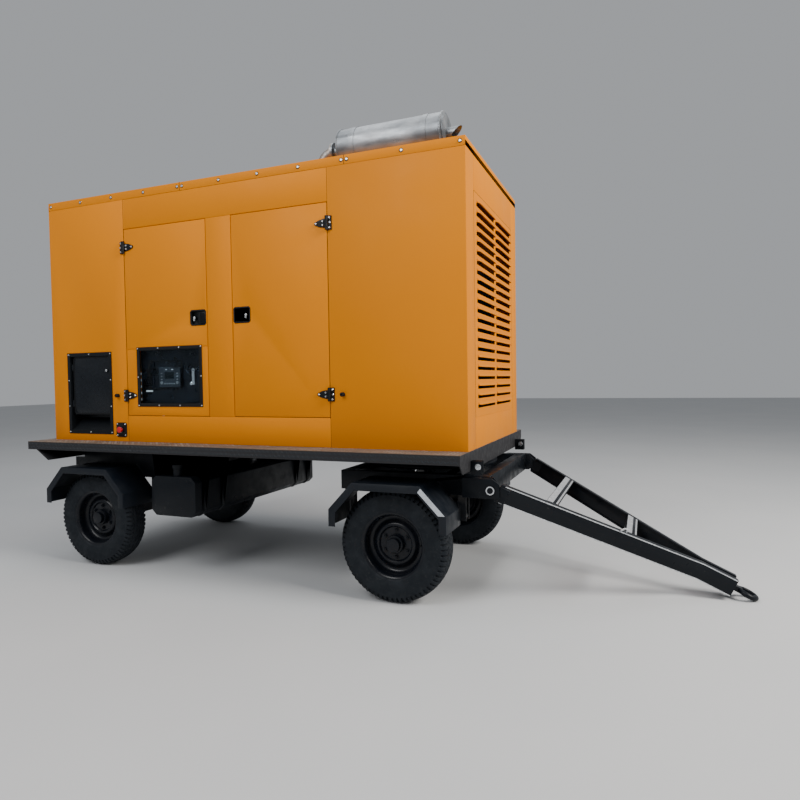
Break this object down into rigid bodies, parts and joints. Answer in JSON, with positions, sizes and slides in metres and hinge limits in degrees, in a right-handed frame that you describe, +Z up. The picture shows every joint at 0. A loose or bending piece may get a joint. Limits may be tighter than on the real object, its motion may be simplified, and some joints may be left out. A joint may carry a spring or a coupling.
{
  "type": "towable diesel generator",
  "caption": "Sound-proof diesel generator in a steel canopy on a turntable-steered trailer with drawbar, doors, outlet pocket and roof muffler.",
  "frame": {"origin": "on the ground under the middle of the machine's box", "axes": "+X towards the tow eye, +Y to the trailer's left side, +Z up"},
  "size_m": [5.47, 1.98, 3.439],
  "materials": {
    "canopy_paint": "semi-gloss orange powder coat with light scuffs",
    "deck_plate": "black paint on chequer plate, dusty on top",
    "frame_paint": "satin black chassis paint",
    "fender_paint": "satin dark grey paint",
    "spring_steel": "black painted spring steel",
    "tank_paint": "satin black paint",
    "hardware_black": "black powder coat",
    "paddle_black": "black moulding",
    "buffer_rubber": "matt black rubber",
    "window_rubber": "black rubber glazing profile",
    "pane_glass": "clear toughened glass",
    "pocket_black": "black powder coat",
    "outlet_black": "smooth black moulding",
    "estop_black": "black moulding",
    "estop_red": "glossy red moulding",
    "engine_paint": "grey-green engine enamel",
    "alternator_paint": "grey enamel",
    "radiator_black": "black painted aluminium core and shroud",
    "fan_blue": "blue moulded fan",
    "pulley_iron": "turned iron, dark",
    "cleaner_black": "black ribbed moulding",
    "battery_case": "black polypropylene",
    "cabinet_paint": "dark blue-black textured powder coat",
    "controller_grey": "grey moulded bezel",
    "handle_chrome": "satin chrome",
    "muffler_steel": "dull aluminised steel",
    "exhaust_steel": "dull steel pipe",
    "tyre_rubber": "black tyre rubber, dusty tread",
    "rim_paint": "dark grey wheel paint"
  },
  "bodies": {
    "trailer": {"deck": "deck_plate", "chassis_frame": "frame_paint", "rear_axle": "frame_paint", "rear_springs": "spring_steel", "rear_fenders": "fender_paint", "fuel_tank": "tank_paint", "roof": "canopy_paint", "side_panels": "canopy_paint", "door_surround": "canopy_paint", "front_wall": "canopy_paint", "front_louvre": "canopy_paint", "rear_wall": "canopy_paint", "hinge_leaves": "hardware_black", "door_stops": "buffer_rubber", "outlet_pocket": "pocket_black", "estop_plate": "estop_black", "engine_skid": "frame_paint", "engine_block": "engine_paint", "cylinder_head": "engine_paint", "alternator": "alternator_paint", "radiator": "radiator_black", "air_cleaner": "cleaner_black", "muffler": "muffler_steel", "exhaust_pipe": "exhaust_steel", "battery": "battery_case", "control_cabinet": "cabinet_paint", "controller": "controller_grey"},
    "bogie": {"bogie_frame": "frame_paint", "front_axle": "frame_paint", "front_springs": "spring_steel", "front_fenders": "fender_paint"},
    "drawbar": {"drawbar": "frame_paint", "tow_eye": "frame_paint"},
    "right_front_wheel": {"right_front_tyre": "tyre_rubber", "right_front_rim": "rim_paint"},
    "right_rear_wheel": {"right_rear_tyre": "tyre_rubber", "right_rear_rim": "rim_paint"},
    "left_front_wheel": {"left_front_tyre": "tyre_rubber", "left_front_rim": "rim_paint"},
    "left_rear_wheel": {"left_rear_tyre": "tyre_rubber", "left_rear_rim": "rim_paint"},
    "right_rear_door": {"right_rear_door": "canopy_paint", "right_rear_fittings": "hardware_black", "window_frame": "window_rubber", "window_pane": "pane_glass"},
    "right_rear_paddle": {"right_rear_paddle": "paddle_black"},
    "right_front_door": {"right_front_door": "canopy_paint", "right_front_fittings": "hardware_black"},
    "right_front_paddle": {"right_front_paddle": "paddle_black"},
    "left_rear_door": {"left_rear_door": "canopy_paint", "left_rear_fittings": "hardware_black"},
    "left_rear_paddle": {"left_rear_paddle": "paddle_black"},
    "left_front_door": {"left_front_door": "canopy_paint", "left_front_fittings": "hardware_black"},
    "left_front_paddle": {"left_front_paddle": "paddle_black"},
    "outlet_door": {"outlet_door": "outlet_black"},
    "estop_button": {"estop_button": "estop_red"},
    "cabinet_handle": {"cabinet_handle": "handle_chrome"},
    "fan": {"cooling_fan": "fan_blue"},
    "crank_pulley": {"crank_pulley": "pulley_iron"}
  },
  "joints": [
    {"name": "bogie_steer", "type": "hinge", "parent": "trailer", "child": "bogie", "pos_m": [0.48496, 0, 0.8695], "axis": [0, 0, 1], "range_deg": [-50, 50]},
    {"name": "drawbar_lift", "type": "hinge", "parent": "bogie", "child": "drawbar", "pos_m": [1.11496, 0, 0.765], "axis": [0, -1, 0], "range_deg": [0, 30]},
    {"name": "right_front_roll", "type": "hinge", "parent": "bogie", "child": "right_front_wheel", "pos_m": [0.48496, -0.78, 0.3875], "axis": [0, 1, 0], "continuous": true},
    {"name": "right_rear_roll", "type": "hinge", "parent": "trailer", "child": "right_rear_wheel", "pos_m": [-2.14504, -0.78, 0.3875], "axis": [0, 1, 0], "continuous": true},
    {"name": "left_front_roll", "type": "hinge", "parent": "bogie", "child": "left_front_wheel", "pos_m": [0.48496, 0.78, 0.3875], "axis": [0, 1, 0], "continuous": true},
    {"name": "left_rear_roll", "type": "hinge", "parent": "trailer", "child": "left_rear_wheel", "pos_m": [-2.14504, 0.78, 0.3875], "axis": [0, 1, 0], "continuous": true},
    {"name": "right_rear_door_swing", "type": "hinge", "parent": "trailer", "child": "right_rear_door", "pos_m": [-1.83304, -0.804, 1.232], "axis": [0, 0, -1], "range_deg": [0, 165]},
    {"name": "right_rear_paddle_pull", "type": "hinge", "parent": "right_rear_door", "child": "right_rear_paddle", "pos_m": [-1.11704, -0.784, 1.982], "axis": [0, 0, -1], "range_deg": [0, 40], "stiffness_Nm_per_rad": 0.15, "springref_deg": -20.05},
    {"name": "right_front_door_swing", "type": "hinge", "parent": "trailer", "child": "right_front_door", "pos_m": [0.00596, -0.804, 1.232], "axis": [0, 0, 1], "range_deg": [0, 165]},
    {"name": "right_front_paddle_pull", "type": "hinge", "parent": "right_front_door", "child": "right_front_paddle", "pos_m": [-0.71004, -0.784, 1.982], "axis": [0, 0, 1], "range_deg": [0, 40], "stiffness_Nm_per_rad": 0.15, "springref_deg": -20.05},
    {"name": "left_rear_door_swing", "type": "hinge", "parent": "trailer", "child": "left_rear_door", "pos_m": [-1.83304, 0.804, 1.232], "axis": [0, 0, 1], "range_deg": [0, 165]},
    {"name": "left_rear_paddle_pull", "type": "hinge", "parent": "left_rear_door", "child": "left_rear_paddle", "pos_m": [-1.11704, 0.784, 1.982], "axis": [0, 0, 1], "range_deg": [0, 40], "stiffness_Nm_per_rad": 0.15, "springref_deg": -20.05},
    {"name": "left_front_door_swing", "type": "hinge", "parent": "trailer", "child": "left_front_door", "pos_m": [0.00596, 0.804, 1.232], "axis": [0, 0, -1], "range_deg": [0, 165]},
    {"name": "left_front_paddle_pull", "type": "hinge", "parent": "left_front_door", "child": "left_front_paddle", "pos_m": [-0.71004, 0.784, 1.982], "axis": [0, 0, -1], "range_deg": [0, 40], "stiffness_Nm_per_rad": 0.15, "springref_deg": -20.05},
    {"name": "outlet_door_swing", "type": "hinge", "parent": "trailer", "child": "outlet_door", "pos_m": [-2.45104, -0.778, 1.4125], "axis": [0, 0, 1], "range_deg": [-100, 0]},
    {"name": "estop_press", "type": "slide", "parent": "trailer", "child": "estop_button", "axis": [0, 1, 0], "range_m": [0, 0.006], "stiffness_N_per_m": 600, "springref_m": -0.002},
    {"name": "cabinet_handle_turn", "type": "hinge", "parent": "trailer", "child": "cabinet_handle", "pos_m": [-1.20404, -0.74, 1.5845], "axis": [0, 1, 0], "range_deg": [0, 90]},
    {"name": "fan_spin", "type": "hinge", "parent": "trailer", "child": "fan", "pos_m": [0.60496, 0, 1.84], "axis": [1, 0, 0], "continuous": true},
    {"name": "crank_pulley_spin", "type": "hinge", "parent": "trailer", "child": "crank_pulley", "pos_m": [0.50996, 0, 1.54], "axis": [1, 0, 0], "continuous": true}
  ],
  "couplings": [
    {"joint": "crank_pulley_spin", "follows": "fan_spin", "ratio": 0.8}
  ]
}
